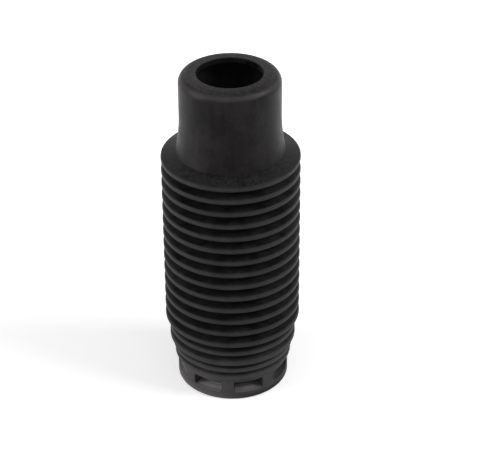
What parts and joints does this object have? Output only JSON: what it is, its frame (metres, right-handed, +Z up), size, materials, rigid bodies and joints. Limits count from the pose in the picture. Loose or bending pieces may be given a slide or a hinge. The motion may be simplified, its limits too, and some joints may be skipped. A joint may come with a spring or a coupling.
{
  "type": "rubber bellows boot",
  "caption": "Black moulded rubber dust boot for a shock absorber: pleated bellows, smooth neck with a holed flat top, and a thick cuff with recessed pockets.",
  "frame": {"origin": "centre of the foot of the cuff, in the plane that the boot stands on", "axes": "+Z up along the boot's axis, from the cuff to the neck; -Y through the middle of one cuff pocket"},
  "size_m": [0.0702, 0.0702, 0.177],
  "materials": {
    "rubber": "satin black moulded rubber"
  },
  "bodies": {
    "root": {"bellows_boot": "rubber"}
  },
  "joints": []
}
